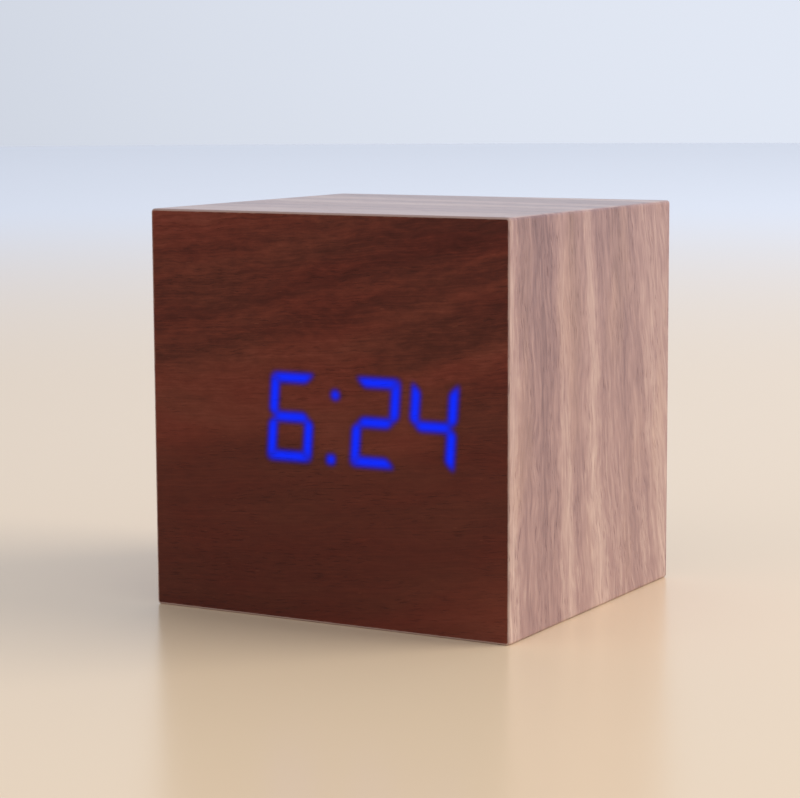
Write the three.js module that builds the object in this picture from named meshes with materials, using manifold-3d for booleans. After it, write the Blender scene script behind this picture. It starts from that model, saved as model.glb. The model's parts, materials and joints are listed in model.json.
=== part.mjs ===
// A wooden block alarm clock: a veneered box with a light-up display behind its front veneer.
// Millimetres, +Z up. The origin is the centre of the underside. The display faces -Y, the controls +Y.
import * as THREE from "three";
import { mergeVertices } from "three/addons/utils/BufferGeometryUtils.js";
import Module from "manifold-3d";

const wasm = await Module();
wasm.setup();

// ---------- driving dimensions ----------
const SIDE = 62; // width and height of the square front
const DEPTH = 57;
const VENEER = 0.6;
const BOARD = 4.9;
const WALL = VENEER + BOARD;
const EDGE_R = 0.5; // rounding of the long edges
const ARRIS = 0.3; // rounding of the front and rear edges
const HALF = SIDE / 2;
const FRONT = -DEPTH / 2;
const REAR = DEPTH / 2;
const INNER = HALF - WALL; // half the clear width inside
const MID_Z = HALF;
const PANEL_BACK = FRONT + WALL; // inner face of the front panel

const DISPLAY = { x: 1.45, z: 31.2, halfWidth: 22.4, halfHeight: 8.6, fit: 0.2 };
const DIGIT = { width: 7.8, height: 13.4, bar: 1.5, gap: 0.34, slant: Math.tan((4.25 * Math.PI) / 180) };
const DIGIT_PITCH = 9.7;
const COLON_SPACE = 4.9; // extra space between the middle two digits
const UPPER_DOT = { x: 0.45, z: 3.75, r: 0.8 }; // from the digits' middle, like the lower dot
const LOWER_DOT = { x: -0.4, z: -6.0, half: 0.75 };
const HOUSING_FRONT = FRONT + VENEER + 0.3;
const GUIDE_BASE = { front: PANEL_BACK - 2.4, back: PANEL_BACK - 1.8 };
const SLOT_FIT = 0.08; // clearance round each light bar

const MAIN_BOARD = { halfWidth: 24.8, bottom: 19.5, top: 56, thick: 1.6 };
const MAIN_BOARD_BACK = PANEL_BACK + MAIN_BOARD.thick;
const MAIN_SCREW = { x: 21.8, z: 53 };

const COVER = { half: 25.2, outer: REAR - 1, thick: 2 };
const COVER_INNER = COVER.outer - COVER.thick;
const COVER_SCREW = { x: 22, z: 22, shankR: 1.2, headR: 2.3, headH: 0.9, length: 7.3 };
const BLOCK = { size: 7, depth: 6.2 };
const BUTTON = { z: 44, pitch: 12, r: 2.8, proud: 0.8, flangeR: 3.6, flange: 1.2, travel: 0.5 };
const REAR_BOARD = { halfWidth: 19, bottom: 20, top: 53, face: 17.4, thick: 1.6 };
const REAR_BOSSES = [
  { name: "upper", x: -15, z: 50.5 },
  { name: "lower", x: 15.5, z: 22.8 },
];
const SWITCH = { half: 3, height: 3.5, plungerR: 1.7, bore: 1.85, boreDepth: 1.6 };
const JACK = { x: 10, z: 31, half: 5.5, collarR: 4, boreR: 3.1, depth: 9, pinR: 1, proud: 0.4 };
const BUZZER = { x: -10, z: 31, r: 6, height: 7.5 };

const CELL = { r: 5.25, can: 43.5, nub: 1, nubR: 1.9, pitch: 11.1 };
const BAY = { y: 1, halfX: 24.2, halfY: 16.7, wall: 1, top: 18, roof: 1.2 };
const SKIRT = { halfX: 22.7, wall: 1.1, bottom: 0.4 };
const CELL_Z = 11.2;
const OPENING = { halfX: 24, halfY: 17.9 }; // cut-out in the underside
const DOOR = { halfX: 22.4, bottom: 0.5, thick: 1.6, pinR: 0.6, pinBore: 0.75, hinge: 14.6, nose: 1.6 };
const DOOR_HINGE = { y: BAY.y - DOOR.hinge, z: 1.6 };
const CONTACT = 0.4;
const LEAD_R = 0.6;

// ---------- materials ----------
const finish = (color, roughness, metalness = 0, extra = {}) =>
  new THREE.MeshStandardMaterial({ color, roughness, metalness, ...extra });
const FINISH = {
  darkVeneer: finish(0x552620, 0.45),
  lightVeneer: finish(0xb18b7e, 0.5),
  fibreboard: finish(0x9a7350, 0.9),
  pine: finish(0xc9a26b, 0.8),
  blackPlastic: finish(0x1b1b1d, 0.6),
  greyPlastic: finish(0x3a3a3d, 0.5),
  whitePlastic: finish(0xe8e6e0, 0.5),
  clearPlastic: finish(0xdfe6f5, 0.2),
  circuitBoard: finish(0x1d5a36, 0.45),
  steel: finish(0xb9bbc0, 0.3, 1),
  screwSteel: finish(0x34353a, 0.35, 1),
  brass: finish(0xc8a24f, 0.3, 1),
  cellSleeve: finish(0x2c4a3b, 0.35),
  ribbon: finish(0x9aa0a8, 0.5),
  redWire: finish(0xb02020, 0.5),
  blackWire: finish(0x151515, 0.5),
};

// ---------- solids ----------
function solid(geometry) {
  const bare = geometry.index ? geometry.toNonIndexed() : geometry.clone();
  bare.deleteAttribute("normal");
  bare.deleteAttribute("uv");
  const merged = mergeVertices(bare, 1e-4);
  return new wasm.Manifold(
    new wasm.Mesh({
      numProp: 3,
      vertProperties: merged.attributes.position.array,
      triVerts: new Uint32Array(merged.index.array),
    }),
  );
}

function geometryOf(manifold) {
  const mesh = manifold.getMesh();
  const geometry = new THREE.BufferGeometry()
    .setAttribute("position", new THREE.BufferAttribute(mesh.vertProperties, 3))
    .setIndex(new THREE.BufferAttribute(mesh.triVerts, 1))
    .toNonIndexed();
  geometry.computeVertexNormals();
  return geometry;
}

const join = (...shapes) => geometryOf(shapes.map(solid).reduce((a, b) => a.add(b)));

function cut(base, ...tools) {
  return geometryOf(tools.map(solid).reduce((left, tool) => left.subtract(tool), solid(base)));
}

const common = (a, b) => geometryOf(solid(a).intersect(solid(b)));

// A box between two values on each axis.
function span([x0, x1], [y0, y1], [z0, z1]) {
  return new THREE.BoxGeometry(x1 - x0, y1 - y0, z1 - z0).translate(
    (x0 + x1) / 2,
    (y0 + y1) / 2,
    (z0 + z1) / 2,
  );
}

// A cylinder along Y between y0 and y1.
function rodY(radius, y0, y1, x = 0, z = 0, sides = 24) {
  return new THREE.CylinderGeometry(radius, radius, y1 - y0, sides).translate(x, (y0 + y1) / 2, z);
}

// A cylinder along X between x0 and x1.
function rodX(radius, x0, x1, y = 0, z = 0, sides = 24) {
  return new THREE.CylinderGeometry(radius, radius, x1 - x0, sides)
    .rotateZ(Math.PI / 2)
    .translate((x0 + x1) / 2, y, z);
}

// A solid of revolution about Y: its profile is a list of [radius, y] from axis to axis.
function turned(profile, sides = 24) {
  return new THREE.LatheGeometry(
    profile.map(([r, y]) => new THREE.Vector2(r, y)),
    sides,
  );
}

// An outline of [x, z] points pushed along Y from y0 to y1.
function slab(outline, y0, y1, bevel = 0) {
  const shape = new THREE.Shape(outline.map(([x, z]) => new THREE.Vector2(x, z)));
  return new THREE.ExtrudeGeometry(shape, {
    depth: y1 - y0 - 2 * bevel,
    bevelEnabled: bevel > 0,
    bevelThickness: bevel,
    bevelSize: bevel,
    bevelOffset: -bevel,
    bevelSegments: 3,
  })
    .rotateX(Math.PI / 2)
    .translate(0, y1 - bevel, 0);
}

// A regular section swept along a curve.
function swept(curve, radius, steps, sides = 8) {
  const shape = new THREE.Shape(
    Array.from({ length: sides }, (_, k) => {
      const angle = (2 * Math.PI * k) / sides;
      return new THREE.Vector2(radius * Math.cos(angle), radius * Math.sin(angle));
    }),
  );
  return new THREE.ExtrudeGeometry(shape, { steps, extrudePath: curve });
}

function arcPoints(cx, cz, radius, from, to, steps) {
  return Array.from({ length: steps + 1 }, (_, k) => {
    const angle = ((from + ((to - from) * k) / steps) * Math.PI) / 180;
    return [cx + radius * Math.cos(angle), cz + radius * Math.sin(angle)];
  });
}

function roundedSquare(half, radius, midZ = MID_Z, steps = 6) {
  const c = half - radius;
  return [
    ...arcPoints(c, midZ + c, radius, 0, 90, steps),
    ...arcPoints(-c, midZ + c, radius, 90, 180, steps),
    ...arcPoints(-c, midZ - c, radius, 180, 270, steps),
    ...arcPoints(c, midZ - c, radius, 270, 360, steps),
  ];
}

// ---------- placing ----------
function place(parent, name, geometry, material, position = [0, 0, 0], rotation = [0, 0, 0]) {
  const mesh = new THREE.Mesh(geometry, material);
  mesh.name = name;
  mesh.position.set(...position);
  mesh.rotation.set(...rotation);
  parent.add(mesh);
  return mesh;
}

function group(parent, position = [0, 0, 0]) {
  const made = new THREE.Group();
  made.position.set(...position);
  parent.add(made);
  return made;
}

const clock = new THREE.Group();

// ---------- wooden case ----------
// One wall's outline, drawn as the top wall and turned a quarter turn for each of the others.
const quarterTurn = (points, turns) =>
  turns === 0 ? points : quarterTurn(points.map(([x, z]) => [z - MID_Z, MID_Z - x]), turns - 1);

function boardOutline() {
  const outer = HALF - VENEER;
  return [
    [-outer, MID_Z + outer],
    [-INNER, MID_Z + INNER],
    [INNER, MID_Z + INNER],
    [outer, MID_Z + outer],
  ];
}

function veneerOutline() {
  const outer = HALF - VENEER;
  const c = HALF - EDGE_R;
  return [
    [-outer, MID_Z + outer],
    [outer, MID_Z + outer],
    ...arcPoints(c, MID_Z + c, EDGE_R, 45, 90, 3),
    ...arcPoints(-c, MID_Z + c, EDGE_R, 90, 135, 3),
  ];
}

const batteryOpening = (z1) =>
  span(
    [-OPENING.halfX, OPENING.halfX],
    [BAY.y - OPENING.halfY, BAY.y + OPENING.halfY],
    [-1, z1],
  );

function makeWalls(parent) {
  ["top", "right", "bottom", "left"].forEach((side, turns) => {
    let board = slab(quarterTurn(boardOutline(), turns), FRONT + VENEER, REAR - VENEER);
    let veneer = slab(quarterTurn(veneerOutline(), turns), FRONT + VENEER, REAR - VENEER);
    if (side === "bottom") {
      board = cut(board, batteryOpening(WALL + 1));
      veneer = cut(veneer, batteryOpening(WALL + 1));
    }
    place(parent, side + "_panel", board, FINISH.fibreboard);
    place(parent, side + "_veneer", veneer, FINISH.lightVeneer);
  });
}

function makeFront(parent) {
  const window = span(
    [DISPLAY.x - DISPLAY.halfWidth - DISPLAY.fit, DISPLAY.x + DISPLAY.halfWidth + DISPLAY.fit],
    [FRONT, PANEL_BACK + 1],
    [DISPLAY.z - DISPLAY.halfHeight - DISPLAY.fit, DISPLAY.z + DISPLAY.halfHeight + DISPLAY.fit],
  );
  const panel = span([-INNER, INNER], [FRONT + VENEER, PANEL_BACK], [WALL, SIDE - WALL]);
  const pilots = [-1, 1].map((s) =>
    rodY(1.1, PANEL_BACK - 4, PANEL_BACK + 1, s * MAIN_SCREW.x, MAIN_SCREW.z, 12),
  );
  place(parent, "front_panel", cut(panel, window, ...pilots), FINISH.fibreboard);

  const thick = 4 * VENEER; // bevelled on both faces, then only the front part is kept
  const sheet = slab(roundedSquare(HALF, EDGE_R), FRONT, FRONT + thick, ARRIS);
  const keep = span([-SIDE, SIDE], [FRONT - 1, FRONT + VENEER], [-1, SIDE + 1]);
  place(parent, "front_veneer", common(sheet, keep), FINISH.darkVeneer);
}

function makeRearEdge(parent) {
  const thick = 4 * VENEER;
  const sheet = slab(roundedSquare(HALF, EDGE_R), REAR - thick, REAR, ARRIS);
  const keep = span([-SIDE, SIDE], [REAR - VENEER, REAR + 1], [-1, SIDE + 1]);
  const hole = span([-INNER, INNER], [REAR - thick, REAR + 1], [WALL, SIDE - WALL]);
  place(parent, "rear_edge_veneer", cut(common(sheet, keep), hole), FINISH.lightVeneer);
}

// ---------- display ----------
const digitCentres = () => {
  const half = (DIGIT_PITCH + COLON_SPACE) / 2;
  return [-half - DIGIT_PITCH, -half, half, half + DIGIT_PITCH];
};

const slanted = (points) => points.map(([x, z]) => [x + z * DIGIT.slant, z]);

// Moves each side of a convex outline outwards by a distance.
function grown(points, distance) {
  const turn = points.reduce((sum, [x, z], k) => {
    const [nx, nz] = points[(k + 1) % points.length];
    return sum + x * nz - nx * z;
  }, 0);
  const sign = Math.sign(turn);
  const sides = points.map(([x, z], k) => {
    const [nx, nz] = points[(k + 1) % points.length];
    const length = Math.hypot(nx - x, nz - z);
    const normal = [(sign * (nz - z)) / length, (-sign * (nx - x)) / length];
    return { normal, offset: normal[0] * x + normal[1] * z + distance };
  });
  return points.map((_, k) => {
    const a = sides[(k + points.length - 1) % points.length];
    const b = sides[k];
    const det = a.normal[0] * b.normal[1] - a.normal[1] * b.normal[0];
    return [
      (a.offset * b.normal[1] - b.offset * a.normal[1]) / det,
      (a.normal[0] * b.offset - b.normal[0] * a.offset) / det,
    ];
  });
}

// The seven bars of one digit, as outlines about the digit's middle.
function barOutlines() {
  const w = DIGIT.width / 2;
  const h = DIGIT.height / 2;
  const t = DIGIT.bar;
  const g = DIGIT.gap / 2;
  const mitre = g * Math.SQRT2;
  const top = [
    [-w + mitre, h],
    [w - mitre, h],
    [w - t - mitre, h - t],
    [-w + t + mitre, h - t],
  ];
  const upright = [
    [w, h - mitre],
    [w, t / 2 + mitre],
    [w - t / 2, mitre],
    [w - t, t / 2 + mitre],
    [w - t, h - t - mitre],
  ];
  const middle = [
    [-w + t + mitre, t / 2],
    [w - t - mitre, t / 2],
    [w - t / 2 - mitre, 0],
    [w - t - mitre, -t / 2],
    [-w + t + mitre, -t / 2],
    [-w + t / 2 + mitre, 0],
  ];
  const mirrorX = (points) => points.map(([x, z]) => [-x, z]);
  const mirrorZ = (points) => points.map(([x, z]) => [x, -z]);
  return [
    top,
    upright,
    mirrorZ(upright),
    mirrorZ(top),
    mirrorX(mirrorZ(upright)),
    mirrorX(upright),
    middle,
  ].map(slanted);
}

// Every bar and dot of the display, about the display's middle.
function lightOutlines() {
  const bars = digitCentres().flatMap((x) =>
    barOutlines().map((bar) => bar.map(([bx, bz]) => [bx + x, bz])),
  );
  const round = arcPoints(UPPER_DOT.x, UPPER_DOT.z, UPPER_DOT.r, 0, 330, 11);
  const { x, z, half } = LOWER_DOT;
  const corners = [[-half, -half], [half, -half], [half, half], [-half, half]];
  const square = slanted(corners).map(([dx, dz]) => [x + dx, z + dz]);
  return [...bars, round, square];
}

const middleOf = (points) =>
  [0, 1].map((k) => points.reduce((sum, p) => sum + p[k], 0) / points.length);

function makeDisplay(parent) {
  const display = group(parent, [DISPLAY.x, 0, DISPLAY.z]);
  const { halfWidth: w, halfHeight: h } = DISPLAY;
  const shell = span([-w, w], [HOUSING_FRONT, PANEL_BACK], [-h, h]);
  const pocket = span([-w + 0.7, w - 0.7], [GUIDE_BASE.front - 0.1, PANEL_BACK + 1], [-h + 0.7, h - 0.7]);
  const slots = lightOutlines().map((points) =>
    slab(grown(points, SLOT_FIT), HOUSING_FRONT - 1, GUIDE_BASE.front + 0.2),
  );
  place(display, "display_housing", cut(shell, pocket, ...slots), FINISH.blackPlastic);

  const base = span(
    [-w + 0.9, w - 0.9],
    [GUIDE_BASE.front, GUIDE_BASE.back],
    [-h + 0.9, h - 0.9],
  );
  const bars = lightOutlines().map((points) =>
    slab(points, HOUSING_FRONT, GUIDE_BASE.front + 0.2),
  );
  place(display, "light_guide", join(base, ...bars), FINISH.clearPlastic);
}

// ---------- main board, behind the display ----------
function makeMainBoard(parent) {
  const { halfWidth, bottom, top } = MAIN_BOARD;
  const board = span([-halfWidth, halfWidth], [PANEL_BACK, MAIN_BOARD_BACK], [bottom, top]);
  const holes = [-1, 1].map((s) =>
    rodY(1.2, PANEL_BACK - 1, MAIN_BOARD_BACK + 1, s * MAIN_SCREW.x, MAIN_SCREW.z, 12),
  );
  const lamps = lightOutlines().map((points) => {
    const [x, z] = middleOf(points);
    const [cx, cz] = [x + DISPLAY.x, z + DISPLAY.z];
    return span([cx - 0.8, cx + 0.8], [PANEL_BACK - 0.7, PANEL_BACK + 0.2], [cz - 0.4, cz + 0.4]);
  });
  const drilled = cut(board, ...holes);
  place(parent, "main_board", join(drilled, ...lamps), FINISH.circuitBoard);
  for (const [side, s] of [["left", -1], ["right", 1]]) {
    place(
      parent,
      "main_board_screw_" + side,
      screw(1.0, 1.8, 1.1, 5),
      FINISH.screwSteel,
      [s * MAIN_SCREW.x, MAIN_BOARD_BACK + 0.1, MAIN_SCREW.z],
    );
  }
}

// A pan-head screw along Y: its head sits on y = 0 and points to +Y, and its shank runs to -length.
function screw(shankR, headR, headH, length) {
  const body = turned(
    [
      [0, -length],
      [0.35 * shankR, -length],
      [shankR, -length + 1.2 * shankR],
      [shankR, 0],
      [headR, 0],
      [headR, 0.55 * headH],
      [0.72 * headR, headH],
      [0, headH],
    ],
    14,
  );
  const arm = 0.6 * headR;
  const depth = 0.45 * headH;
  const slot = 0.16 * headR;
  const across = span([-arm, arm], [headH - depth, headH + 1], [-slot, slot]);
  const upright = span([-slot, slot], [headH - depth, headH + 1], [-arm, arm]);
  return cut(body, across, upright);
}

function makeClockChip(parent) {
  const [length, width, height, lift] = [10.3, 7.5, 2.3, 0.2];
  const legs = 8;
  const pitch = 1.27;
  const body = span([-length / 2, length / 2], [lift, lift + height], [-width / 2, width / 2]);
  const pins = [];
  for (let k = 0; k < legs; k++) {
    const x = (k - (legs - 1) / 2) * pitch;
    for (const s of [-1, 1]) {
      const reach = [s * (width / 2 - 0.3), s * (width / 2 + 0.6)].sort((a, b) => a - b);
      const foot = [s * (width / 2 + 0.3), s * (width / 2 + 1.3)].sort((a, b) => a - b);
      pins.push(span([x - 0.2, x + 0.2], [0.9, 1.2], reach));
      pins.push(span([x - 0.2, x + 0.2], [0.05, 1.2], foot));
    }
  }
  const dimple = rodY(0.6, lift + height - 0.2, lift + height + 1, -length / 2 + 1.4, -width / 2 + 1.4, 12);
  const chip = cut(join(body, ...pins), dimple);
  place(parent, "clock_chip", chip, FINISH.blackPlastic, [13.2, MAIN_BOARD_BACK, 44.6]);
}

function makeCrystal(parent) {
  const can = rodX(1, -3, 3, 1.1, 0, 16);
  const leads = [-0.35, 0.35].map((z) =>
    join(rodX(0.2, 2.8, 4.6, 1.1, z, 8), rodY(0.2, 0.05, 1.25, 4.5, z, 8)),
  );
  place(parent, "crystal", join(can, ...leads), FINISH.steel, [12, MAIN_BOARD_BACK, 36.4]);
}

function makeCapacitor(parent) {
  const can = turned(
    [
      [0, 0.1],
      [2.3, 0.1],
      [2.5, 0.3],
      [2.5, 0.8],
      [2.25, 1.1],
      [2.5, 1.4],
      [2.5, 6.7],
      [2.3, 7],
      [0, 7],
    ],
    20,
  );
  place(parent, "capacitor", can, FINISH.greyPlastic, [20.4, MAIN_BOARD_BACK, 30]);
}

// A coin cell in a round holder with a sprung retaining arm.
function makeCoinCell(parent) {
  const holder = group(parent, [-9, MAIN_BOARD_BACK, 41.5]);
  const ring = rodY(11.4, 0.05, 4.6, 0, 0, 28);
  const pocket = rodY(10.25, 1.4, 6, 0, 0, 28);
  const thumbGap = span([-5, 5], [1.4, 6], [-13, -6]);
  const arm = span([-1.5, 1.5], [3.9, 5.4], [10.3, 11.2]);
  const hook = span([-1.5, 1.5], [4.9, 5.6], [8, 11.2]);
  const body = join(cut(ring, pocket, thumbGap), arm, hook);
  place(holder, "coin_cell_holder", body, FINISH.blackPlastic);
  const cell = turned(
    [
      [0, 1.5],
      [9, 1.5],
      [9, 2],
      [10, 2.3],
      [10, 4.5],
      [9.8, 4.7],
      [0, 4.7],
    ],
    28,
  );
  place(holder, "coin_cell", cell, FINISH.steel);
}

// A boxed pin header for the ribbon cable, opening to +Y.
function header() {
  const shell = span([-6.5, 6.5], [0.05, 6], [-2.6, 2.6]);
  return cut(shell, span([-5.6, 5.6], [1.2, 7], [-1.7, 1.7]));
}

const HEADER = { x: 8, mainZ: 25.5, rearZ: 37 };

function makeRibbon(parent) {
  place(parent, "main_header", header(), FINISH.whitePlastic, [HEADER.x, MAIN_BOARD_BACK, HEADER.mainZ]);
  const rearFace = REAR_BOARD.face - REAR_BOARD.thick;
  const rearPlace = [HEADER.x, rearFace, HEADER.rearZ];
  place(parent, "rear_header", header(), FINISH.whitePlastic, rearPlace, [Math.PI, 0, 0]);
  const y0 = MAIN_BOARD_BACK + 1.6;
  const y1 = rearFace - 1.6;
  const route = new THREE.CatmullRomCurve3(
    [
      [y0, HEADER.mainZ],
      [y0 + 3, HEADER.mainZ],
      [y0 + 6, HEADER.mainZ],
      [y0 + 13, HEADER.mainZ - 1.6],
      [(y0 + y1) / 2 + 1, HEADER.mainZ + 2.5],
      [y1 - 10, HEADER.rearZ - 1],
      [y1 - 6, HEADER.rearZ],
      [y1 - 3, HEADER.rearZ],
      [y1, HEADER.rearZ],
    ].map(([y, z]) => new THREE.Vector3(HEADER.x, y, z)),
  );
  const [halfThick, halfWide] = [0.5, 4.4];
  const section = new THREE.Shape([
    new THREE.Vector2(-halfThick, -halfWide),
    new THREE.Vector2(halfThick, -halfWide),
    new THREE.Vector2(halfThick, halfWide),
    new THREE.Vector2(-halfThick, halfWide),
  ]);
  const cable = new THREE.ExtrudeGeometry(section, { steps: 40, extrudePath: route });
  place(parent, "ribbon_cable", cable, FINISH.ribbon);
}

// ---------- rear cover and controls ----------
function makeRearCover(parent) {
  const { half, outer } = COVER;
  const plate = slab(roundedSquare(half, 1), COVER_INNER, outer);
  const bosses = REAR_BOSSES.map(({ x, z }) => rodY(2.4, REAR_BOARD.face, COVER_INNER + 0.5, x, z));
  const pilots = REAR_BOSSES.map(({ x, z }) => rodY(1.1, REAR_BOARD.face - 1, COVER_INNER, x, z, 12));
  const screwHoles = cornerSigns().flatMap(([sx, sz]) => {
    const [x, z] = [sx * COVER_SCREW.x, MID_Z + sz * COVER_SCREW.z];
    return [
      rodY(1.4, COVER_INNER - 1, outer + 1, x, z, 14),
      rodY(COVER_SCREW.headR + 0.3, outer - 1.05, outer + 1, x, z, 18),
    ];
  });
  const buttonHoles = [-1, 0, 1].flatMap((k) => [
    rodY(BUTTON.r + 0.2, COVER_INNER - 1, outer + 1, k * BUTTON.pitch, BUTTON.z, 22),
    rodY(BUTTON.r + 1.1, outer - 0.5, outer + 1, k * BUTTON.pitch, BUTTON.z, 22),
  ]);
  const jackHole = rodY(JACK.collarR + 0.2, COVER_INNER - 1, outer + 1, JACK.x, JACK.z, 22);
  const vents = [[0, 0], ...arcPoints(0, 0, 3, 0, 300, 5)].map(([x, z]) =>
    rodY(0.75, COVER_INNER - 1, outer + 1, BUZZER.x + x, BUZZER.z + z, 10),
  );
  const body = cut(
    join(plate, ...bosses),
    ...pilots,
    ...screwHoles,
    ...buttonHoles,
    jackHole,
    ...vents,
  );
  place(parent, "rear_cover", body, FINISH.blackPlastic);
}

const cornerSigns = () => [
  [-1, 1],
  [1, 1],
  [-1, -1],
  [1, -1],
];

function makeCornerFixings(parent) {
  const { size, depth } = BLOCK;
  const pilotR = COVER_SCREW.shankR + 0.15;
  for (const [sx, sz] of cornerSigns()) {
    const label = (sz > 0 ? "upper" : "lower") + (sx < 0 ? "_left" : "_right");
    const middle = INNER - size / 2;
    const offset = [COVER_SCREW.x - middle, COVER_SCREW.z - middle];
    const block = cut(
      span([-size / 2, size / 2], [-depth, 0], [-size / 2, size / 2]),
      rodY(pilotR, -depth - 1, 1, sx * offset[0], sz * offset[1], 20),
    );
    place(parent, "screw_block_" + label, block, FINISH.pine, [
      sx * middle,
      COVER_INNER,
      MID_Z + sz * middle,
    ]);
    const { shankR, headR, headH, length } = COVER_SCREW;
    place(parent, "cover_screw_" + label, screw(shankR, headR, headH, length), FINISH.screwSteel, [
      sx * COVER_SCREW.x,
      COVER.outer - 1,
      MID_Z + sz * COVER_SCREW.z,
    ]);
  }
}

// One push button with the switch that it works. They are stacked along Y behind the cover.
function makeButton(parent, name, x) {
  const stack = group(parent, [x, 0, BUTTON.z]);
  const { r, flangeR, flange } = BUTTON;
  const tip = COVER.outer + BUTTON.proud;
  const stem = REAR_BOARD.face + SWITCH.height + 1.5;
  const cap = turned(
    [
      [0, stem],
      [1.6, stem],
      [1.6, COVER_INNER - flange - 0.2],
      [flangeR, COVER_INNER - flange - 0.2],
      [flangeR, COVER_INNER - 0.2],
      [r, COVER_INNER - 0.2],
      [r, tip - 0.5],
      [r - 0.4, tip],
      [r - 0.9, tip],
      [0, tip - 0.3],
    ],
    20,
  );
  place(stack, name + "_button", cap, FINISH.greyPlastic);

  const { half, height, plungerR, bore, boreDepth } = SWITCH;
  const seat = REAR_BOARD.face + 0.05;
  const top = REAR_BOARD.face + height;
  const legs = [-half, half].flatMap((x) =>
    [-2.2, 2.2].map((z) => span([x - 0.5, x + 0.5], [seat, seat + 1.05], [z - 0.4, z + 0.4])),
  );
  const body = cut(
    join(span([-half, half], [seat, top], [-half, half]), ...legs),
    rodY(bore, top - boreDepth, top + 1, 0, 0, 14),
  );
  place(stack, name + "_switch", body, FINISH.blackPlastic);
  const plunger = rodY(plungerR, top - boreDepth + BUTTON.travel + 0.2, stem - 0.1, 0, 0, 14);
  place(stack, name + "_plunger", plunger, FINISH.whitePlastic);
}

function makeRearBoard(parent) {
  const { halfWidth, bottom, top, face, thick } = REAR_BOARD;
  const board = cut(
    span([-halfWidth, halfWidth], [face - thick, face], [bottom, top]),
    ...REAR_BOSSES.map(({ x, z }) => rodY(1.2, face - thick - 1, face + 1, x, z, 12)),
  );
  place(parent, "rear_board", board, FINISH.circuitBoard);
  for (const { name, x, z } of REAR_BOSSES) {
    place(
      parent,
      "rear_board_screw_" + name,
      screw(1.0, 1.8, 1.1, 5),
      FINISH.screwSteel,
      [x, face - thick - 0.1, z],
      [Math.PI, 0, 0],
    );
  }
}

function makeJack(parent) {
  const { x, z, half, collarR, boreR, depth, pinR, proud } = JACK;
  const jack = group(parent, [x, 0, z]);
  const mouth = COVER.outer + proud;
  const floor = REAR_BOARD.face + 0.05;
  const shell = join(
    span([-half, half], [floor, COVER_INNER - 0.3], [-half, half]),
    rodY(collarR, COVER_INNER - 1, mouth, 0, 0, 22),
  );
  const bore = rodY(boreR, mouth - depth, mouth + 1, 0, 0, 22);
  const pinHole = rodY(pinR + 0.15, floor - 1, mouth - depth + 1, 0, 0, 16);
  place(jack, "power_jack", cut(shell, bore, pinHole), FINISH.blackPlastic);
  const tip = mouth - 0.9;
  const pin = turned(
    [
      [0, floor],
      [pinR, floor],
      [pinR, tip - 0.5],
      [0.7 * pinR, tip - 0.1],
      [0, tip],
    ],
    16,
  );
  place(jack, "jack_pin", pin, FINISH.steel);
}

function makeBuzzer(parent) {
  const { x, z, r, height } = BUZZER;
  const floor = REAR_BOARD.face + 0.05;
  const can = turned(
    [
      [0, floor],
      [r, floor],
      [r, floor + height - 0.4],
      [r - 0.4, floor + height],
      [1.2, floor + height],
      [1.2, floor + height - 1.5],
      [0, floor + height - 1.5],
    ],
    24,
  );
  place(parent, "buzzer", can, FINISH.blackPlastic, [x, 0, z]);
}

// ---------- batteries ----------
const cellRows = () => [-1, 0, 1].map((k) => ({ y: k * CELL.pitch, plusAt: k === 0 ? -1 : 1 }));

function makeTray(bay) {
  const { halfX, halfY, wall, top, roof } = BAY;
  const outerX = halfX + wall;
  const outerY = halfY + wall;
  const box = span([-outerX, outerX], [-outerY, outerY], [WALL, top]);
  const skirtX = SKIRT.halfX + SKIRT.wall;
  const skirt = span([-skirtX, skirtX], [-outerY, outerY], [SKIRT.bottom, WALL + 0.5]);
  const room = span([-halfX, halfX], [-halfY, halfY], [WALL + 1, top - roof]);
  const well = span([-SKIRT.halfX, SKIRT.halfX], [-halfY, halfY], [-1, WALL + 2]);
  const pinHoles = [-1, 1].map((s) =>
    rodX(DOOR.pinBore, s * skirtX - 2, s * skirtX + 2, -DOOR.hinge, DOOR_HINGE.z, 16),
  );
  const catchNotch = span([-5.3, 5.3], [halfY - 1, outerY - 0.3], [-1, 2.8]);
  const tabSlots = [
    [-1, -CELL.pitch],
    [1, CELL.pitch],
  ].map(([s, y]) => {
    const x = s * (halfX - 0.35);
    return span([x - 0.55, x + 0.55], [y - 1.8, y + 1.8], [top - roof - 1, top + 1]);
  });
  // Low saddles between the cells keep them in line.
  const saddles = [-0.5, 0.5].map((k) =>
    span([-15, 15], [k * CELL.pitch - 0.25, k * CELL.pitch + 0.25], [top - roof - 2.4, top - roof + 0.5]),
  );
  const hollow = cut(join(box, skirt), room, well, ...pinHoles, catchNotch, ...tabSlots);
  place(bay, "battery_tray", join(hollow, ...saddles), FINISH.blackPlastic);
}

function makeCells(bay) {
  const half = BAY.halfX - CONTACT - 0.1;
  cellRows().forEach(({ y, plusAt }, k) => {
    const profile = [
      [0, -CELL.can],
      [CELL.r - 0.4, -CELL.can],
      [CELL.r, -CELL.can + 0.4],
      [CELL.r, -0.5],
      [CELL.r - 0.5, 0],
      [CELL.nubR, 0],
      [CELL.nubR, CELL.nub - 0.2],
      [CELL.nubR - 0.2, CELL.nub],
      [0, CELL.nub],
    ];
    const shoulder = half - CELL.nub;
    place(
      bay,
      "battery_cell_" + (k + 1),
      turned(profile, 24),
      FINISH.cellSleeve,
      [plusAt * shoulder, y, CELL_Z],
      [0, 0, plusAt > 0 ? -Math.PI / 2 : Math.PI / 2],
    );
  });
}

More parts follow.
